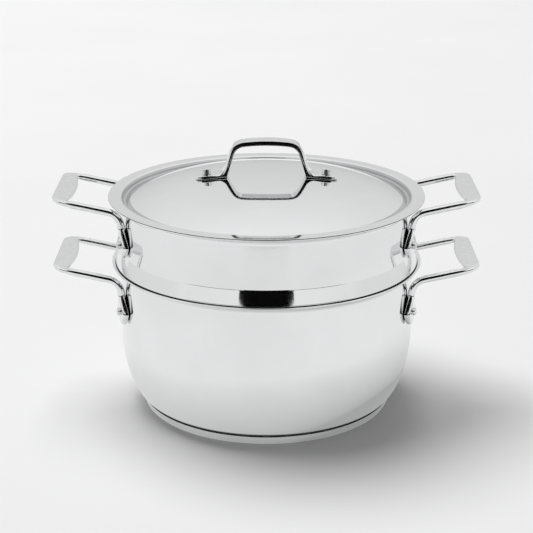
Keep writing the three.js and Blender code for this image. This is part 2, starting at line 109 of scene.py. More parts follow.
# Loop handles, measured from the rivets
ROD_RADIUS = 3
HANDLE_SPREAD = 84
HANDLE_REACH = 51.6
HANDLE_RISE = 24.9
HANDLE_SLOPE = radians(12)
ROD_BEND = 12
POT_HEADROOM = 8.2
INSERT_HEADROOM = 5.8
PADDLE_WIDTH = 11.8
PADDLE_HALF_THICKNESS = 2.1
PADDLE_SQUARENESS = 4
PADDLE_CORNER = 12.8
PADDLE_BULGE = 4.4
FOOT_THICKNESS = 4.7
FOOT_TOE = 11.2
# Up a foot: height, half width, half thickness, squareness, and share of the way from the rivet to the rod
FOOT_SHAPE = (
    (-11.1, 1.8, 1.3, 2.4, 0),
    (-10.4, 3.6, 1.95, 3, 0),
    (-7.6, 5.9, 2.3, 4, 0),
    (-4, 7.8, 2.35, 6, 0),
    (-1.6, 8.7, 2.35, 10, 0),
    (-0.4, 8.7, 2.35, 14, 0),
    (4, 6.9, 2.35, 14, 0.15),
    (8.5, 5, 2.4, 12, 0.5),
    (12.3, 3.3, 2.5, 7, 0.85),
    (13.3, 3, 2.9, 2.6, 1),
    (14.6, 3, 3, 2, 1),
)
# Along one arm of the loop, up to the paddle's round corner: how far out its inner and its outer side are,
# how far the inner side moves to the middle, half thickness and squareness
ARM_SHAPE = (
    (15, 15, 0, ROD_RADIUS, 2),
    (30, 30, 0, ROD_RADIUS, 2),
    (38.6, 38.6, 0, ROD_RADIUS, 2),
    (41.6, 41.4, 0, 2.6, 2.4),
    (43.6, 43.2, 0.1, 2.3, 3),
)
# Round the paddle's corner: how far the inner side is from the rod, how far out of its curve, degrees round
# the corner on the outer side, half thickness and squareness
CORNER_SHAPE = (
    (0.7, -0.2, 14, 2.2, 3.2),
    (2, 0.1, 34, PADDLE_HALF_THICKNESS, 3.6),
    (4, 0, 55, PADDLE_HALF_THICKNESS, PADDLE_SQUARENESS),
    (6.4, 0, 75, PADDLE_HALF_THICKNESS, PADDLE_SQUARENESS),
    (9.4, 0, 90, PADDLE_HALF_THICKNESS, PADDLE_SQUARENESS),
)
PADDLE_STATIONS = (24, 12, 0)  # from the corner to the middle, as distance from the middle

# Rivets
RIVET_SHANK = 4.8
HANDLE_RIVET = (6.2, 2.7)  # diameter and height of the head
LID_RIVET = (7.4, 5.2)
CROWN_EDGE = 1.2  # how far the head's upright edge stops below its crown
RIVET_TAIL = 9.6
RIVET_TAIL_HEIGHT = 1.5
RIVET_TAIL_ROUND = 0.7
HEAD_ROUND = 0.9  # of the head's upper edge

# Lid handle
STRAP_WIDTH = 13.8
STRAP_THICKNESS = 3.8
BAR_SQUARENESS = 20
LEG_SQUARENESS = 9
FILLET_SQUARENESS = 3.2
TAB_SQUARENESS = 12
STRAP_DRAFT = 0.027  # how much narrower the strap is outside than inside, as a share of its width
BAR_CURVE = 150  # radius of the bar along its length
BAR_REACH = 20  # half length of the bar
ARCH_HEIGHT = 30.2
ARCH_SPREAD = 71.4
ARCH_CORNER = 13
LEG_THICKNESS = 4.4
LEG_LEAN = radians(16)
LEG_FILLET = 9
LEG_HEEL = 1
TAB_THICKNESS = 2.6
TAB_RIVETS = 97.2
TAB_END = 9.8
# Along a tab from its tip: distance in from the tip and half width
TAB_SHAPE = ((0.1, 3.4), (0.7, 5), (2.1, 6.3), (4.4, 6.9), (8, 6.9), (14.5, 6.9))

# Finishes
NOISE_RANGE = (0.3, 0.7)  # where a noise pattern mostly stays
BLOTCH_SCALE = 22
RIPPLE_SCALE = 260
GRAIN_SCALE = 1400
WHEEL_RELIEF = 0.02
CAST_RELIEF = 0.05

# Camera and studio
PHOTO_PIXELS = 533
FOCAL_PIXELS = 1511.9
SENSOR_WIDTH = 36
CAMERA_PLACE = (0, -1.2, 0.5192)
CAMERA_PITCH = radians(18.59)  # down from level
FLOOR_SIZE = 14
LAMP_PLACE = (-2.2, 2.25, 8.65)
LAMP_AIM = (0, 0, 0.05)
LAMP_SIZE = 7
LAMP_POWER = 810
FILL_LEVEL = 0.18  # of the surround, on what it lights
BACKDROP_LEVEL = 0.93  # of the surround, as it is seen
SURROUND_LOW = 0.6  # of the surround near the horizon, as it is mirrored
SURROUND_HIGH = 0.95  # of the surround overhead, as it is mirrored
SURROUND_CURVE = 0.7  # power by which it brightens upwards
BOUNCE_LEVEL = 0.55  # of the surround, in what the steel throws on the floor
# How much brighter the surround is low at both sides and in front, and how much darker low in front, each
# with the part of a direction over which it sets in
SIDE_LIGHT = 0.18
SIDE_RANGE = (0.3, 0.8)
SIDE_TOP = 0.5
FRONT_LIGHT = 0.12
FRONT_RANGE = (-0.4, 0.2)
FRONT_SHADE = 0.92
SHADE_RANGE = (-0.58, -0.42)
SHADE_TOP = (0.27, 0.33)
DIM_PLACE = (0.04, 0, 0)  # where the painted shade on the floor is darkest, as it is mirrored
DIM_RANGE = (0.1, 0.25)  # distances from there
FLOOR_NEAR = 0.43  # level of the floor's painted glow close to the pot, as it is mirrored
FLOOR_ROUND = 0.88
FLOOR_FAR = 0.84
FAR_RANGE = (0.4, 0.5)
CARD_DISTANCE = 0.668  # from the pot's axis to the dark card in front
CARD_SHAPE = ((0, 0.185), (0.377, 0.185), (0.394, 0.232), (1.3, 0.235))  # height and half width, upwards

# Sizes that follow from those above
lip_turn = radians(LIP_TURN)
skirt_lean = radians(SKIRT_LEAN)
pot_inside = POT_WALL_RADIUS - POT_SHEET
insert_wall_radius = POT_WALL_RADIUS - INSERT_SETBACK
insert_inside = insert_wall_radius - INSERT_SHEET
lip_radius = POT_WALL_RADIUS + LIP_BEND * (1 - cos(lip_turn)) + LIP_FLAT * sin(lip_turn)
seam_radius = POT_WALL_RADIUS - BELLY_TUCK
pot_floor_z = BASE_HEIGHT + SEAT_GAP
lid_radius = lip_radius + LID_OVERHANG


def lip_start(wall_radius, top_z, sheet):
    """Height at which a wall starts to bend out into its lip"""
    bend_end = wall_radius + LIP_BEND * (1 - cos(lip_turn))
    flat_rise = (lip_radius - bend_end) / tan(lip_turn)
    return top_z - flat_rise - (sheet + LIP_BEND) * sin(lip_turn)


def tail_face(inside_radius):
    """Distance from the axis of a rivet tail's flat face against the inside of a wall"""
    return sqrt(inside_radius**2 - (RIVET_TAIL / 2) ** 2) - SEAT_GAP


def hem_height():
    """Height of the fold of the insert's hem where it lies on the pot's lip"""
    reach = LIP_BEND + POT_SHEET + SEAT_GAP + HEM_BEND
    across = POT_WALL_RADIUS + LIP_BEND - hem_radius
    return lip_start(POT_WALL_RADIUS, POT_HEIGHT, POT_SHEET) + sqrt(reach**2 - across**2)


hem_radius = POT_WALL_RADIUS + HEM_REACH - HEM_BEND
hem_z = hem_height()
skirt_rise = (hem_radius + HEM_BEND * cos(skirt_lean) - insert_wall_radius) / tan(skirt_lean)
crease_z = hem_z + HEM_BEND * sin(skirt_lean) + skirt_rise
tub_radius = tail_face(pot_inside) - RIVET_TAIL_HEIGHT - TUB_GAP - SEAT_GAP
tub_floor_z = hem_z - HEM_BEND - TUB_DEPTH
pot_rivet_z = POT_HEIGHT - POT_HEADROOM - HANDLE_RISE
insert_rivet_z = crease_z + TOE_GAP + FOOT_TOE
insert_top_z = insert_rivet_z + HANDLE_RISE + INSERT_HEADROOM
lid_rim_z = insert_top_z + SEAT_GAP + LID_SHEET
plug_radius = insert_inside - LID_GAP - LID_SHEET
crown_z = lid_rim_z + DOME_RISE
dome_lean = radians(DOME_LEAN)
gutter_r = plug_radius - GUTTER_BEND
gutter_z = lid_rim_z - GUTTER_DEPTH + GUTTER_BEND
dome_foot_r = gutter_r - GUTTER_BEND * sin(dome_lean)
dome_foot_z = gutter_z - GUTTER_BEND * cos(dome_lean)
shoulder_drop = crown_z - dome_foot_r**2 / (2 * CROWN_CURVE) - dome_foot_z
shoulder_power = (tan(dome_lean) - dome_foot_r / CROWN_CURVE) * dome_foot_r / shoulder_drop


def dome_z(radius):
    """Height of the dome's upper side: nearly a ball in the middle, then ever steeper down to its foot"""
    return crown_z - radius**2 / (2 * CROWN_CURVE) - shoulder_drop * (radius / dome_foot_r) ** shoulder_power


def dome_slope(radius):
    shoulder = shoulder_drop * shoulder_power / dome_foot_r
    return radius / CROWN_CURVE + shoulder * (radius / dome_foot_r) ** (shoulder_power - 1)


# Profiles


def oval(r, z, radius_r, radius_z, start, end, steps):
    """Part of an ellipse, between angles in degrees"""
    angles = [radians(start + (end - start) * i / steps) for i in range(steps + 1)]
    return [Vector((r + radius_r * cos(a), z + radius_z * sin(a))) for a in angles]


def bend(r, z, radius, start, end):
    steps = max(2, ceil(abs(end - start) / BEND_STEP))
    return oval(r, z, radius, radius, start, end, steps)


def left_of(start, end):
    along = (end - start).normalized()
    return Vector((-along.y, along.x))


def offset(line, distance):
    """A line at a distance to the left of another, which leaves the axis square to it"""
    moved = []
    for i, point in enumerate(line):
        before = left_of(line[i - 1], point) if i > 0 else Vector((0, 1))
        after = left_of(point, line[i + 1]) if 0 < i < len(line) - 1 else before
        middle = (before + after).normalized()
        moved.append(point + middle * (distance / middle.dot(before)))
    return moved


def sheet(under, upper):
    """The outline of a sheet of metal between two lines, with a round edge where they end"""
    across = upper[-1] - under[-1]
    half = across.length / 2
    out = Vector((across.y, -across.x)).normalized() * half
    middle = (under[-1] + upper[-1]) / 2
    angles = [pi * i / EDGE_STEPS for i in range(1, EDGE_STEPS)]
    edge = [middle - across / 2 * cos(a) + out * sin(a) for a in angles]
    return [*under, *edge, *reversed(upper)]


def rounded(corners, steps):
    """A line through corners of x, z and radius, with an arc of that many steps at each round one"""
    line = []
    for i, (x, z, radius) in enumerate(corners):
        here = Vector((x, z))
        if not radius:
            line.append(here)
            continue
        back = (Vector(corners[i - 1][:2]) - here).normalized()
        ahead = (Vector(corners[i + 1][:2]) - here).normalized()
        half = back.angle(ahead) / 2
        middle = here + (back + ahead).normalized() * (radius / sin(half))
        spoke = here + back * (radius / tan(half)) - middle
        turn = copysign(pi - 2 * half, back.cross(ahead))
        for k in range(steps + 1):
            angle = -turn * k / steps
            line.append(middle + Matrix.Rotation(angle, 2) @ spoke)
    return line


# Modelling


def select_only(piece):
    bpy.ops.object.select_all(action="DESELECT")
    piece.select_set(True)
    bpy.context.view_layer.objects.active = piece


def apply_modifier(piece, kind, **settings):
    select_only(piece)
    modifier = piece.modifiers.new(kind.title(), kind)
    for key, value in settings.items():
        setattr(modifier, key, value)
    bpy.ops.object.modifier_apply(modifier=modifier.name)


def turned(name, profile, steps=TURN_STEPS):
    """A closed shape spun about the Z axis from a profile that starts and ends on it"""
    places = [Vector((r, 0, z)) * MM for r, z in profile]
    bpy.ops.object.select_all(action="DESELECT")
    bpy.ops.mesh.primitive_plane_add(size=1)
    piece = bpy.context.object
    piece.name = name
    bpy.ops.object.mode_set(mode="EDIT")
    bpy.ops.mesh.merge(type="CENTER")
    bpy.ops.transform.translate(value=places[0])
    for here, there in zip(places, places[1:]):
        bpy.ops.mesh.extrude_vertices_move(TRANSFORM_OT_translate={"value": there - here})
    bpy.ops.mesh.select_all(action="SELECT")
    bpy.ops.mesh.spin(steps=steps, angle=2 * pi, center=(0, 0, 0), axis=(0, 0, 1))
    bpy.ops.mesh.select_all(action="SELECT")
    bpy.ops.mesh.remove_doubles(threshold=MM * 0.001)
    bpy.ops.mesh.normals_make_consistent(inside=False)
    bpy.ops.object.mode_set(mode="OBJECT")
    return piece


def finish_metal(piece, sharp_angle=35):
    """Smooth shading that keeps flats flat and bends round"""
    select_only(piece)
    bpy.ops.object.shade_smooth_by_angle(angle=radians(sharp_angle))
    apply_modifier(piece, "WEIGHTED_NORMAL", keep_sharp=True)


def ring(centre, across, over, half_across, half_over, squareness, draft=0):
    """Points round a section that is round at squareness 2 and nearer a rectangle above it"""
    points = []
    power = 2 / squareness
    for i in range(RING_POINTS):
        angle = 2 * pi * i / RING_POINTS
        u = copysign(abs(cos(angle)) ** power, cos(angle)) * half_across / RING_SHRINK
        v = copysign(abs(sin(angle)) ** power, sin(angle)) * half_over / RING_SHRINK
        narrower = 1 - draft * (1 + v / half_over) / 2
        points.append(centre + across * u * narrower + over * v)
    return points


def cast_half(name, rings, mirror_axis):
    """One half of a cast handle, mirrored to the other half and subdivided"""
    bpy.ops.object.select_all(action="DESELECT")
    bpy.ops.mesh.primitive_circle_add(vertices=RING_POINTS, radius=1, fill_type="NGON")
    piece = bpy.context.object
    piece.name = name
    # A straight bar is drawn out, one length for each ring, and its far end is left open
    bpy.ops.object.mode_set(mode="EDIT")
    for _ in rings[1:]:
        bpy.ops.mesh.extrude_region_move(TRANSFORM_OT_translate={"value": (0, 0, 1)})
    bpy.ops.mesh.delete(type="ONLY_FACE")
    bpy.ops.object.mode_set(mode="OBJECT")
    # Each point of the bar moves to its place on its ring
    for vertex in piece.data.vertices:
        turn = atan2(vertex.co.y, vertex.co.x) / (2 * pi)
        vertex.co = rings[round(vertex.co.z)][round(turn * RING_POINTS)] * MM
    axes = [axis == mirror_axis for axis in "XYZ"]
    apply_modifier(piece, "MIRROR", use_axis=axes, use_mirror_merge=True, merge_threshold=0.01 * MM)
    bpy.ops.object.mode_set(mode="EDIT")
    bpy.ops.mesh.select_all(action="SELECT")
    bpy.ops.mesh.normals_make_consistent(inside=False)
    bpy.ops.object.mode_set(mode="OBJECT")
    apply_modifier(piece, "SUBSURF", levels=CAST_LEVELS, render_levels=CAST_LEVELS)
    bpy.ops.object.shade_smooth()
    return piece


def copy_of(piece, name, place):
    """A copy with its own mesh, moved by a matrix"""
    made = piece.copy()
    made.data = piece.data.copy()
    made.name = name
    made.data.transform(place)
    bpy.context.scene.collection.objects.link(made)
    return made


# Node trees


def add_node(tree, kind, inputs=None, **settings):
    """A node with its settings, and its inputs given as values or as sockets to link"""
    made = tree.nodes.new(kind)
    for key, value in settings.items():
        setattr(made, key, value)
    for key, value in (inputs or {}).items():
        if isinstance(value, bpy.types.NodeSocket):
            tree.links.new(value, made.inputs[key])
        else:
            made.inputs[key].default_value = value
    return made


def sums(tree, operation, *values):
    """The result of a math node"""
    return add_node(tree, "ShaderNodeMath", dict(enumerate(values)), operation=operation).outputs[0]


def spread(tree, value, from_low, from_high, to_low, to_high):
    """A value mapped from one range to another and kept inside it"""
    inputs = {0: value, 1: from_low, 2: from_high, 3: to_low, 4: to_high}
    return add_node(tree, "ShaderNodeMapRange", inputs).outputs[0]


def new_group(name, inputs, outputs):
    group = bpy.data.node_groups.new(name, "ShaderNodeTree")
    for socket in inputs:
        group.interface.new_socket(socket, in_out="INPUT", socket_type="NodeSocketFloat")
    for socket in outputs:
        group.interface.new_socket(socket, in_out="OUTPUT", socket_type="NodeSocketFloat")
    return group, group.nodes.new("NodeGroupInput"), group.nodes.new("NodeGroupOutput")


def wheel_marks_group():
    """Fine lines left round a turned piece by the polishing wheel, and the faint blotches of handling"""
    group, given, result = new_group("wheel_marks", ["Fineness", "Blotch Scale"], ["Lines", "Blotches"])
    place = add_node(group, "ShaderNodeTexCoord").outputs["Object"]
    axes = add_node(group, "ShaderNodeSeparateXYZ", {0: place})
    flat = add_node(group, "ShaderNodeCombineXYZ", {0: axes.outputs[0], 1: axes.outputs[1]})
    radius = add_node(group, "ShaderNodeVectorMath", {0: flat.outputs[0]}, operation="LENGTH")
    facing = add_node(group, "ShaderNodeVectorMath", {0: flat.outputs[0]}, operation="NORMALIZE")
    side = add_node(group, "ShaderNodeSeparateXYZ", {0: facing.outputs[0]})
    across = sums(group, "MULTIPLY", radius.outputs["Value"], given.outputs["Fineness"])
    height = sums(group, "MULTIPLY", axes.outputs[2], given.outputs["Fineness"])
    round_place = {0: across, 1: side.outputs[0], 2: side.outputs[1]}
    vector = add_node(group, "ShaderNodeCombineXYZ", round_place).outputs[0]
    lines = add_node(
        group,
        "ShaderNodeTexNoise",
        {"Vector": vector, "W": height, "Scale": 1, "Detail": 3, "Roughness": 0.6},
        noise_dimensions="4D",
    )
    blotches = add_node(
        group,
        "ShaderNodeTexNoise",
        {"Vector": place, "Scale": given.outputs["Blotch Scale"], "Detail": 3, "Roughness": 0.55},
    )
    group.links.new(lines.outputs[0], result.inputs["Lines"])
    group.links.new(blotches.outputs[0], result.inputs["Blotches"])
    return group


def cast_skin_group():
    """The softly uneven skin of a polished casting, with fine hand polishing over it"""
    group, given, result = new_group("cast_skin", ["Ripple Scale", "Grain Scale"], ["Ripple", "Grain"])
    place = add_node(group, "ShaderNodeTexCoord").outputs["Object"]
    for output, scale, detail in (("Ripple", "Ripple Scale", 1), ("Grain", "Grain Scale", 4)):
        noise = add_node(
            group,
            "ShaderNodeTexNoise",
            {"Vector": place, "Scale": given.outputs[scale], "Detail": detail, "Roughness": 0.5},
        )
        group.links.new(noise.outputs[0], result.inputs[output])
    return group


wheel_marks = wheel_marks_group()
cast_skin = cast_skin_group()


def new_material(name, **values):
    """A material with one shader, its constant values set on the shader's own sockets"""
    material = bpy.data.materials.new(name)
    material.use_nodes = True
    tree = material.node_tree
    shader = tree.nodes["Principled BSDF"]
    for socket, value in values.items():
        shader.inputs[socket.replace("_", " ")].default_value = value
    return material, tree, shader


def tinted(tree, mask, dark, light):
    """A colour between two greys, by a mask"""
    mix = tree.nodes.new("ShaderNodeMix")
    mix.data_type = "RGBA"
    tree.links.new(mask, mix.inputs[0])
    mix.inputs[6].default_value = (*dark, 1)
    mix.inputs[7].default_value = (*light, 1)
    return mix.outputs[2]


def turned_steel(name, dark, light, smooth, rough, fineness, bump):
    """Steel finished on a wheel: lines run round the piece, and handling dulls it here and there"""
    material, tree, shader = new_material(name, Metallic=1)
    marks = add_node(tree, "ShaderNodeGroup", node_tree=wheel_marks)
    marks.inputs["Fineness"].default_value = fineness
    marks.inputs["Blotch Scale"].default_value = BLOTCH_SCALE
    wear = sums(tree, "ADD", sums(tree, "MULTIPLY", marks.outputs["Lines"], 0.6),
                sums(tree, "MULTIPLY", marks.outputs["Blotches"], 0.4))
    tree.links.new(spread(tree, wear, *NOISE_RANGE, smooth, rough), shader.inputs["Roughness"])
    colour_mask = spread(tree, marks.outputs["Blotches"], *NOISE_RANGE, 0, 1)
    tree.links.new(tinted(tree, colour_mask, dark, light), shader.inputs["Base Color"])
    relief = add_node(
        tree,
        "ShaderNodeBump",
        {"Height": marks.outputs["Lines"], "Strength": bump, "Distance": WHEEL_RELIEF * MM},
    )
    tree.links.new(relief.outputs[0], shader.inputs["Normal"])
    return material


def cast_metal(name, dark, light, smooth, rough, bump):
    """Cast steel polished by hand"""
    material, tree, shader = new_material(name, Metallic=1)
    skin = add_node(tree, "ShaderNodeGroup", node_tree=cast_skin)
    skin.inputs["Ripple Scale"].default_value = RIPPLE_SCALE
    skin.inputs["Grain Scale"].default_value = GRAIN_SCALE
    roughness = spread(tree, skin.outputs["Grain"], *NOISE_RANGE, smooth, rough)
    tree.links.new(roughness, shader.inputs["Roughness"])
    colour_mask = spread(tree, skin.outputs["Ripple"], *NOISE_RANGE, 0, 1)
    tree.links.new(tinted(tree, colour_mask, dark, light), shader.inputs["Base Color"])
    relief = add_node(
        tree,
        "ShaderNodeBump",
        {"Height": skin.outputs["Ripple"], "Strength": bump, "Distance": CAST_RELIEF * MM},
    )
    tree.links.new(relief.outputs[0], shader.inputs["Normal"])
    return material


mirror_steel = turned_steel("mirror_steel", (0.81, 0.815, 0.82), (0.85, 0.855, 0.86), 0.035, 0.08, 900, 0.04)
satin_steel = turned_steel("satin_steel", (0.72, 0.725, 0.73), (0.78, 0.785, 0.79), 0.2, 0.34, 1500, 0.35)
# Darker steel for the lid's gutter: painted shade in the recess round the dome's foot
gutter_painted_shade = turned_steel("gutter_painted_shade", (0.5, 0.505, 0.51), (0.58, 0.585, 0.59), 0.1, 0.2, 1200, 0.2)
# The capped base's steel is darker than the pot's: painted shade low down by the floor
cap_steel_painted_shade = turned_steel("cap_steel_painted_shade", (0.6, 0.605, 0.61), (0.68, 0.685, 0.69), 0.08, 0.16, 1000, 0.1)
# Nearly black: painted shadow in the groove between the pot's heel and the capped base
seam_painted_shadow = turned_steel("seam_painted_shadow", (0.015, 0.015, 0.016), (0.03, 0.03, 0.032), 0.5, 0.65, 1200, 0.3)
# Dark steel: painted shade under the insert's hem fold and along the lid's outer edge
edge_painted_shade = turned_steel("edge_painted_shade", (0.07, 0.071, 0.072), (0.12, 0.121, 0.122), 0.3, 0.4, 1200, 0.3)
brushed_base = turned_steel("brushed_base", (0.66, 0.665, 0.67), (0.74, 0.745, 0.75), 0.24, 0.42, 1100, 0.6)
polished_casting = cast_metal("polished_casting", (0.77, 0.775, 0.78), (0.83, 0.835, 0.84), 0.06, 0.14, 0.12)
rivet_steel = cast_metal("rivet_steel", (0.72, 0.725, 0.73), (0.79, 0.795, 0.8), 0.1, 0.2, 0.15)
core_aluminium = cast_metal("core_aluminium", (0.5, 0.51, 0.52), (0.6, 0.61, 0.62), 0.4, 0.55, 0.4)


# Sheet metal pieces


def lip_line(wall_radius, top_z, thickness):
    start_z = lip_start(wall_radius, top_z, thickness)
    curl = bend(wall_radius + LIP_BEND, start_z, LIP_BEND, 180, 180 - LIP_TURN)
    return [*curl, Vector((lip_radius - thickness / 2, top_z - thickness * sin(lip_turn)))]


def finish_faces(piece, test, material):
    """Gives the faces that a test picks, by their middle and normal, one more material"""
    piece.data.materials.append(material)
    for face in piece.data.polygons:
        if test(face.center / MM, face.normal):
            face.material_index = len(piece.data.materials) - 1


def faces_axis(centre, normal):
    return centre.x * normal.x + centre.y * normal.y < 0


def pot_body():
    sweep = radians(BELLY_SWEEP)
    belly_r = BELLY_TUCK / (1 - cos(sweep))
    belly_z = BELLY_HEIGHT / sin(sweep)
    belly_top_z = pot_floor_z + HEEL + BELLY_HEIGHT
    belly = oval(POT_WALL_RADIUS - belly_r, belly_top_z, belly_r, belly_z, -BELLY_SWEEP, 0, BELLY_STEPS)
    heel = bend(seam_radius - HEEL, pot_floor_z + HEEL, HEEL, -90, -25)
    under = [Vector((0, pot_floor_z)), *heel, *belly, *lip_line(POT_WALL_RADIUS, POT_HEIGHT, POT_SHEET)]
    piece = turned("polished_pot", sheet(under, offset(under, POT_SHEET)))
    piece.data.materials.append(mirror_steel)
    lip_z = lip_start(POT_WALL_RADIUS, POT_HEIGHT, POT_SHEET)
    finish_faces(
        piece,
        lambda c, n: c.z < lip_z and (faces_axis(c, n) or n.z > 0.9 and c.xy.length < seam_radius),
        satin_steel,
    )
    # The heel's under faces in the groove get painted shadow
    finish_faces(piece, lambda c, n: n.z < -0.2 and c.z < pot_floor_z + HEEL, seam_painted_shadow)
    finish_metal(piece)
    return piece


def base_cap():
    radius = seam_radius - SEAM_STEP
    corner = bend(radius - CAP_CORNER, CAP_CORNER, CAP_CORNER, -90, 0)
    under = [Vector((0, 0)), *corner, Vector((radius, BASE_HEIGHT - SEAM_GROOVE))]
    piece = turned("capped_base", sheet(under, offset(under, CAP_SHEET)))
    # Darker steel over the whole cap, as painted shade
    piece.data.materials.append(cap_steel_painted_shade)
    finish_faces(piece, lambda c, n: n.z < -0.95, brushed_base)
    # The cap's upper edge in the groove gets painted shadow
    finish_faces(piece, lambda c, n: n.z > 0.3 and c.z > CAP_CORNER, seam_painted_shadow)
    finish_metal(piece)
    return piece


def hole_cutter():
    """One shape for all the steam holes: spools that flare at both faces of the floor"""
    radius = HOLE_DIAMETER / 2
    low, high = tub_floor_z, tub_floor_z + INSERT_SHEET
    waist = [
        *bend(radius + HOLE_FLARE, low + HOLE_FLARE, HOLE_FLARE, 240, 180),
        *bend(radius + HOLE_FLARE, high - HOLE_FLARE, HOLE_FLARE, 180, 120),
    ]
    wide = waist[0].x + HOLE_FLARE
    ends = [Vector((wide, low - HOLE_FLARE)), Vector((wide, high + HOLE_FLARE))]
    profile = [Vector((0, ends[0].y)), ends[0], *waist, ends[1], Vector((0, ends[1].y))]
    spool = turned("steam_holes", profile, HOLE_STEPS)
    spools = []
    for number in range(1, HOLE_RINGS + 1):
        count = RING_GROWTH * number
        for i in range(count):
            angle = 2 * pi * i / count
            place = Vector((cos(angle), sin(angle), 0)) * number * HOLE_PITCH * MM
            spools.append(copy_of(spool, "steam_hole", Matrix.Translation(place)))
    select_only(spool)
    for copy in spools:
        copy.select_set(True)
    bpy.ops.object.join()
    return spool


def insert_body():
    ledge_z = hem_z - HEM_BEND
    half_lean = tan(skirt_lean / 2)
    under = [
        Vector((0, tub_floor_z)),
        *bend(tub_radius - TUB_CORNER, tub_floor_z + TUB_CORNER, TUB_CORNER, -90, 0),
        *bend(tub_radius + LEDGE_BEND, ledge_z - LEDGE_BEND, LEDGE_BEND, 180, 90),
        *bend(hem_radius, hem_z, HEM_BEND, -90, SKIRT_LEAN),
        *bend(
            insert_wall_radius + CREASE_BEND,
            crease_z + CREASE_BEND * half_lean,
            CREASE_BEND,
            180 + SKIRT_LEAN,
            180,
        ),
        *lip_line(insert_wall_radius, insert_top_z, INSERT_SHEET),
    ]
    piece = turned("steamer_insert", sheet(under, offset(under, INSERT_SHEET)))
    cutter = hole_cutter()
    apply_modifier(piece, "BOOLEAN", operation="DIFFERENCE", solver="EXACT", object=cutter)
    bpy.data.objects.remove(cutter)
    piece.data.materials.clear()
    piece.data.materials.append(mirror_steel)
    lip_z = lip_start(insert_wall_radius, insert_top_z, INSERT_SHEET)
    finish_faces(
        piece,
        lambda c, n: c.z < lip_z and (faces_axis(c, n) or n.z > 0.9 and c.xy.length < tub_radius),
        satin_steel,
    )
    # The under half of the hem's fold gets painted shade, for the gap over the pot's lip
    finish_faces(piece, lambda c, n: c.z < hem_z - 0.2 and c.xy.length > hem_radius, edge_painted_shade)
    finish_metal(piece)
    return piece


def lid_shell():
    reaches = [dome_foot_r * i / DOME_STEPS for i in range(DOME_STEPS)]
    upper = [
        *[Vector((r, dome_z(r))) for r in reaches],
        *bend(gutter_r, gutter_z, GUTTER_BEND, -90 - DOME_LEAN, 0),
        *bend(plug_radius + RIM_BEND, lid_rim_z - RIM_BEND, RIM_BEND, 180, 90),
        Vector((lid_radius - LID_SHEET / 2, lid_rim_z)),
    ]
    piece = turned("domed_lid", sheet(offset(upper, -LID_SHEET), upper))
    piece.data.materials.append(mirror_steel)
    finish_faces(piece, lambda c, n: n.z < 0 and c.xy.length < plug_radius, satin_steel)
    # The gutter's upper faces get painted shade
    finish_faces(
        piece,
        lambda c, n: n.z > 0 and c.z < lid_rim_z - 0.9 and c.xy.length > dome_foot_r - 2,
        gutter_painted_shade,
    )
    # The rim's outer edge gets painted shade, a dark line under the lid's edge
    finish_faces(piece, lambda c, n: n.z < 0.6 and c.xy.length > lid_radius - LID_SHEET / 2, edge_painted_shade)
    finish_metal(piece)
    return piece


# Loop handles, on the +X side with the rivets at height 0


def loop_handle(name, wall_radius):
    across = Vector((0, 1, 0))
    half_spread = HANDLE_SPREAD / 2
    lean = asin(half_spread / wall_radius)
    foot_radius = wall_radius + SEAT_GAP + FOOT_THICKNESS / 2
    foot_place = Vector((cos(lean), sin(lean), 0)) * foot_radius
    rod_distance = wall_radius + SEAT_GAP + ROD_RADIUS
    rod_place = Vector((sqrt(rod_distance**2 - half_spread**2), half_spread, 0))
    rings = []
    for z, half_width, half_thickness, squareness, share in FOOT_SHAPE:
        turn = lean * (1 - share)
        centre = foot_place.lerp(rod_place, share) + Vector((0, 0, z))
        # The faces follow the wall, and the flanks face the front and the rear
        along_wall = Vector((-tan(turn), 1, 0))
        out_of_wall = Vector((1 / cos(turn), 0, 0))
        rings.append(ring(centre, along_wall, out_of_wall, half_width, half_thickness, squareness))
    # The rod turns out of upright into the sloping plane of the loop
    turn = pi / 2 - HANDLE_SLOPE
    bend_middle = rod_place + Vector((ROD_BEND, 0, HANDLE_RISE - ROD_BEND * tan(turn / 2)))
    bend_steps = 6
    for i in range(bend_steps + 1):
        angle = turn * i / bend_steps
        over = Vector((cos(angle), 0, -sin(angle)))
        rings.append(ring(bend_middle - over * ROD_BEND, across, over, ROD_RADIUS, ROD_RADIUS, 2))
    # The arm runs out to the round corner of the paddle, and the paddle across to the middle
    out = Vector((cos(HANDLE_SLOPE), 0, sin(HANDLE_SLOPE)))
    over = Vector((sin(HANDLE_SLOPE), 0, -cos(HANDLE_SLOPE)))
    start = Vector((rod_place.x, 0, HANDLE_RISE))
    outer_edge = (wall_radius + HANDLE_REACH - rod_place.x) / out.x
    for inner, outer, half_thickness, squareness in [*arm_sides(), *paddle_sides(outer_edge)]:
        inner_place = start + out * inner[0] + across * inner[1]
        outer_place = start + out * outer[0] + across * outer[1]
        width = outer_place - inner_place
        middle = (inner_place + outer_place) / 2
        rings.append(ring(middle, width.normalized(), over, width.length / 2, half_thickness, squareness))
    piece = cast_half(name, rings, "Y")
    piece.data.materials.append(polished_casting)
    return piece


def arm_sides():
    """The arm's inner and outer side as distance out and across, with half thickness and squareness"""
    half_spread = HANDLE_SPREAD / 2
    sides = []
    for inner_out, outer_out, shift, half_thickness, squareness in ARM_SHAPE:
        inner = inner_out, half_spread - ROD_RADIUS - shift
        outer = outer_out, half_spread + ROD_RADIUS
        sides.append((inner, outer, half_thickness, squareness))
    return sides


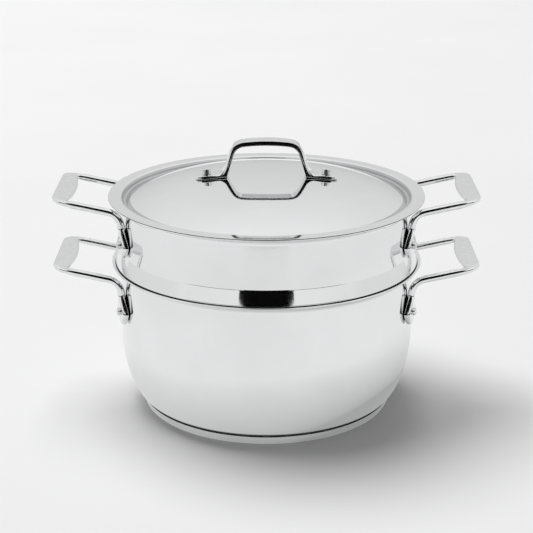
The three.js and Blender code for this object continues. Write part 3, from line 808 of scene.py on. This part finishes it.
def paddle_sides(outer_edge):
    """From the round corner to the middle of the paddle, as for the arm"""
    inner_half = HANDLE_SPREAD / 2 - ROD_RADIUS
    outer_half = HANDLE_SPREAD / 2 + ROD_RADIUS

    def inner_edge(y):
        return outer_edge - PADDLE_WIDTH - PADDLE_BULGE * (1 - (y / inner_half) ** 2)

    sides = []
    for inset, shift, degrees, half_thickness, squareness in CORNER_SHAPE:
        y = inner_half - inset
        angle = radians(degrees)
        outer = (
            outer_edge - PADDLE_CORNER * (1 - sin(angle)),
            outer_half - PADDLE_CORNER * (1 - cos(angle)),
        )
        sides.append(((inner_edge(y) + shift, y), outer, half_thickness, squareness))
    for y in PADDLE_STATIONS:
        sides.append(((inner_edge(y), y), (outer_edge, y), PADDLE_HALF_THICKNESS, PADDLE_SQUARENESS))
    return sides


# Rivets


def rivet(name, tail_z, head_z, head_size):
    """A rivet along Z, with a round head above and a flat tail below"""
    head = head_size[0] / 2
    crown = head_size[1]
    tail = RIVET_TAIL / 2
    low = tail_z - RIVET_TAIL_HEIGHT
    profile = [
        Vector((0, low)),
        *bend(tail - RIVET_TAIL_ROUND, low + RIVET_TAIL_ROUND, RIVET_TAIL_ROUND, -90, 0),
        Vector((tail, tail_z)),
        Vector((RIVET_SHANK / 2, tail_z)),
        Vector((RIVET_SHANK / 2, head_z)),
        Vector((head, head_z)),
        *bend(head - HEAD_ROUND, head_z + crown - CROWN_EDGE, HEAD_ROUND, 0, 60),
        Vector((0, head_z + crown)),
    ]
    piece = turned(name, profile, RIVET_STEPS)
    piece.data.materials.append(rivet_steel)
    finish_metal(piece)
    return piece


def outward(angle, z):
    """Turns a piece that lies along Z to point out from the axis at an angle, at a height"""
    lay_down = Matrix.Rotation(pi / 2, 4, "Y")
    return Matrix.Translation((0, 0, z * MM)) @ Matrix.Rotation(angle, 4, "Z") @ lay_down


# Lid handle


def lid_handle():
    across = Vector((0, 1, 0))
    lean = tan(LEG_LEAN)
    bar_slope = BAR_REACH / BAR_CURVE
    foot_x = ARCH_SPREAD / 2
    tip_x = TAB_RIVETS / 2 + TAB_END
    leg_foot_z = dome_z(foot_x) + SEAT_GAP + TAB_THICKNESS
    leg_across = LEG_THICKNESS / cos(LEG_LEAN)
    heel_x = foot_x - leg_across + TAB_THICKNESS * lean
    stations = []
    for inset, half_width in TAB_SHAPE:
        x = tip_x - inset
        under = Vector((x, dome_z(x) + SEAT_GAP))
        stations.append((under, under + Vector((0, TAB_THICKNESS)), half_width, TAB_SQUARENESS))
    tab_under, tab_upper = stations[-1][:2]
    top = Vector((0, crown_z + ARCH_HEIGHT))
    # Sloping lines along the ends of the bar's faces would meet above its middle
    outer_peak = top + Vector((0, BAR_REACH * bar_slope / 2))
    inner_peak = outer_peak - Vector((0, STRAP_THICKNESS))

    def top_corner(leg_x, peak):
        """Where the line of a leg's face meets the sloping line of the bar's face"""
        x = (leg_x - (peak.y - leg_foot_z) * lean) / (1 - bar_slope * lean)
        return x, peak.y - bar_slope * x

    outer_line = [
        (*tab_upper, 0),
        (foot_x, leg_foot_z, LEG_FILLET),
        (*top_corner(foot_x, outer_peak), ARCH_CORNER),
        (*outer_peak, 0),
    ]
    inner_line = [
        (*tab_under, 0),
        (heel_x, dome_z(heel_x) + SEAT_GAP, LEG_HEEL),
        (*top_corner(foot_x - leg_across, inner_peak), ARCH_CORNER - STRAP_THICKNESS),
        (*inner_peak, 0),
    ]
    steps = 6
    pairs = list(zip(rounded(inner_line, steps), rounded(outer_line, steps)))
    # The fillet is round, and grows up the leg and through the top corner into the flat bar
    squareness = []
    for low, high in ((FILLET_SQUARENESS, LEG_SQUARENESS), (LEG_SQUARENESS, BAR_SQUARENESS)):
        squareness += [low + (high - low) * i / steps for i in range(steps + 1)]
    for (inner, outer), square in zip(pairs[1:-1], squareness):
        stations.append((inner, outer, STRAP_WIDTH / 2, square))
    for x in (BAR_REACH * 0.75, BAR_REACH * 0.4, 0):
        outer = top + Vector((x, -(x**2) / (2 * BAR_CURVE)))
        stations.append((outer - Vector((0, STRAP_THICKNESS)), outer, STRAP_WIDTH / 2, BAR_SQUARENESS))
    rings = []
    for inner, outer, half_width, square in stations:
        middle = (inner + outer) / 2
        thickness = outer - inner
        over = Vector((thickness.x, 0, thickness.y))
        centre = Vector((middle.x, 0, middle.y))
        half_over = over.length / 2
        rings.append(ring(centre, across, over.normalized(), half_width, half_over, square, STRAP_DRAFT))
    piece = cast_half("strap_handle", rings, "X")
    piece.data.materials.append(polished_casting)
    return piece


# Assembly


def fit(piece, body, node):
    """Puts a finished piece in the place of a part of the frame"""
    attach(piece, body)
    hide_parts(node)


def fit_loop_handles(body, wall_radius, inside_radius, rivet_z):
    lift = Matrix.Translation((0, 0, rivet_z * MM))
    model = loop_handle("loop_handle", wall_radius)
    head_x = wall_radius + FOOT_THICKNESS + 2 * SEAT_GAP
    pin = rivet("handle_rivet", tail_face(inside_radius), head_x, HANDLE_RIVET)
    lean = asin(HANDLE_SPREAD / 2 / wall_radius)
    for side, turn in (("right", 0), ("left", pi)):
        place = lift @ Matrix.Rotation(turn, 4, "Z")
        handle = copy_of(model, f"{body}_loop_handle_{side}", place)
        fit(handle, body, f"{body}_handle_{side}")
        for end, sign in (("front", -1), ("rear", 1)):
            angle = sign * lean if side == "right" else pi - sign * lean
            copy = copy_of(pin, f"{body}_handle_rivet_{side}_{end}", outward(angle, rivet_z))
            fit(copy, body, f"{body}_rivet_{side}_{end}")
    bpy.data.objects.remove(model)
    bpy.data.objects.remove(pin)


def fit_lid_rivets():
    pin = rivet("lid_rivet", -LID_SHEET - SEAT_GAP, TAB_THICKNESS + 2 * SEAT_GAP, LID_RIVET)
    x = TAB_RIVETS / 2
    lean = atan(dome_slope(x))
    for side, sign in (("right", 1), ("left", -1)):
        tilt = Matrix.Rotation(sign * lean, 4, "Y")
        place = Matrix.Translation(Vector((sign * x, 0, dome_z(x))) * MM) @ tilt
        copy = copy_of(pin, f"lid_handle_rivet_{side}", place)
        fit(copy, "lid", f"lid_rivet_{side}")
    bpy.data.objects.remove(pin)


fit(pot_body(), "pot", "pot_body")
fit(base_cap(), "pot", "base_cap")
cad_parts["base_core"].data.materials.clear()
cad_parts["base_core"].data.materials.append(core_aluminium)
fit_loop_handles("pot", POT_WALL_RADIUS, pot_inside, pot_rivet_z)
fit(insert_body(), "insert", "insert_body")
fit_loop_handles("insert", insert_wall_radius, insert_inside, insert_rivet_z)
fit(lid_shell(), "lid", "lid_shell")
fit(lid_handle(), "lid", "lid_handle")
fit_lid_rivets()


# Studio


def pale_floor():
    bpy.ops.object.select_all(action="DESELECT")
    bpy.ops.mesh.primitive_plane_add(size=FLOOR_SIZE)
    floor = bpy.context.object
    floor.name = "floor"
    material, tree, shader = new_material("pale_floor", Roughness=0.6, Specular_IOR_Level=0.15)
    place = add_node(tree, "ShaderNodeTexCoord").outputs["Object"]
    clouds = add_node(tree, "ShaderNodeTexNoise", {"Vector": place, "Scale": 2.5, "Detail": 4})
    mask = spread(tree, clouds.outputs[0], *NOISE_RANGE, 0, 1)
    stone = tinted(tree, mask, (0.87, 0.87, 0.872), (0.895, 0.895, 0.895))
    # For glossy rays the floor glows instead of being lit: a painted pale sheet with painted shade towards
    # the pot
    mirrored = add_node(tree, "ShaderNodeLightPath").outputs["Is Glossy Ray"]
    bare = add_node(tree, "ShaderNodeMix", {0: mirrored, 6: stone, 7: (0, 0, 0, 1)}, data_type="RGBA")
    tree.links.new(bare.outputs[2], shader.inputs["Base Color"])
    away = add_node(tree, "ShaderNodeVectorMath", {0: place, 1: DIM_PLACE}, operation="DISTANCE")
    distance = away.outputs["Value"]
    near = sums(tree, "SQRT", spread(tree, distance, *DIM_RANGE, 0, 1))
    level = spread(tree, near, 0, 1, FLOOR_NEAR, FLOOR_ROUND)
    level = sums(tree, "SUBTRACT", level, spread(tree, distance, *FAR_RANGE, 0, FLOOR_ROUND - FLOOR_FAR))
    tree.links.new(sums(tree, "MULTIPLY", level, mirrored), shader.inputs["Emission Color"])
    shader.inputs["Emission Strength"].default_value = 1
    floor.data.materials.append(material)


def studio_surround():
    """A soft white surround, which the polished steel mirrors as darker low down, most of all in front"""
    world = bpy.data.worlds.new("studio")
    bpy.context.scene.world = world
    world.use_nodes = True
    tree = world.node_tree
    direction = add_node(tree, "ShaderNodeTexCoord").outputs["Generated"]
    x, y, z = add_node(tree, "ShaderNodeSeparateXYZ", {0: direction}).outputs
    height = sums(tree, "POWER", sums(tree, "MAXIMUM", z, 0), SURROUND_CURVE)
    level = spread(tree, height, 0, 1, SURROUND_LOW, SURROUND_HIGH)
    beside = spread(tree, sums(tree, "ABSOLUTE", x), *SIDE_RANGE, 0, SIDE_LIGHT)
    beside = sums(tree, "MULTIPLY", beside, spread(tree, z, 0, SIDE_TOP, 1, 0))
    in_front = spread(tree, y, *FRONT_RANGE, FRONT_LIGHT, 0)
    level = sums(tree, "ADD", level, sums(tree, "MAXIMUM", beside, in_front))
    shade = spread(tree, y, *SHADE_RANGE, FRONT_SHADE, 0)
    shade = sums(tree, "MULTIPLY", shade, spread(tree, z, *SHADE_TOP, 1, 0))
    mirrored = sums(tree, "MULTIPLY", level, sums(tree, "SUBTRACT", 1, shade))
    rays = add_node(tree, "ShaderNodeLightPath").outputs
    shiny = sums(tree, "MAXIMUM", rays["Is Glossy Ray"], rays["Is Transmission Ray"])
    bounced = sums(tree, "MINIMUM", rays["Diffuse Depth"], 1)
    mirrored = add_node(tree, "ShaderNodeMix", {0: bounced, 2: mirrored, 3: BOUNCE_LEVEL}).outputs[0]
    lit = add_node(tree, "ShaderNodeMix", {0: shiny, 2: FILL_LEVEL, 3: mirrored}).outputs[0]
    seen = add_node(tree, "ShaderNodeMix", {0: rays["Is Camera Ray"], 2: lit, 3: BACKDROP_LEVEL}).outputs[0]
    tree.links.new(seen, tree.nodes["Background"].inputs["Strength"])
    tree.nodes["Background"].inputs["Color"].default_value = (1, 1, 1, 1)


def dark_card():
    """A black card that stands in front of the pot and shows only as a reflection in its steel"""
    rows = len(CARD_SHAPE) - 1
    bpy.ops.object.select_all(action="DESELECT")
    bpy.ops.mesh.primitive_grid_add(x_subdivisions=1, y_subdivisions=rows, size=1)
    card = bpy.context.object
    card.name = "dark_card"
    for vertex in card.data.vertices:
        height, half_width = CARD_SHAPE[round((vertex.co.y + 0.5) * rows)]
        vertex.co = (copysign(half_width, vertex.co.x), -CARD_DISTANCE, height)
    material, _, shader = new_material("black_card", Roughness=0.9, Specular_IOR_Level=0)
    shader.inputs["Base Color"].default_value = (0.004, 0.004, 0.004, 1)
    card.data.materials.append(material)
    card.visible_camera = False
    card.visible_diffuse = False
    card.visible_shadow = False
    card.visible_transmission = False


def soft_lamp():
    data = bpy.data.lights.new("soft_lamp", "AREA")
    data.shape = "DISK"
    data.size = LAMP_SIZE
    data.energy = LAMP_POWER
    lamp = bpy.data.objects.new("soft_lamp", data)
    lamp.location = LAMP_PLACE
    lamp.rotation_euler = (Vector(LAMP_AIM) - Vector(LAMP_PLACE)).to_track_quat("-Z", "Y").to_euler()
    lamp.visible_glossy = False
    lamp.visible_camera = False
    bpy.context.scene.collection.objects.link(lamp)


def photo_camera():
    data = bpy.data.cameras.new("camera")
    data.sensor_fit = "HORIZONTAL"
    data.sensor_width = SENSOR_WIDTH
    data.lens = FOCAL_PIXELS * SENSOR_WIDTH / PHOTO_PIXELS
    camera = bpy.data.objects.new("camera", data)
    camera.location = CAMERA_PLACE
    camera.rotation_euler = (pi / 2 - CAMERA_PITCH, 0, 0)
    bpy.context.scene.collection.objects.link(camera)
    bpy.context.scene.camera = camera


pale_floor()
studio_surround()
dark_card()
soft_lamp()
photo_camera()
bpy.context.scene.view_settings.view_transform = "Standard"
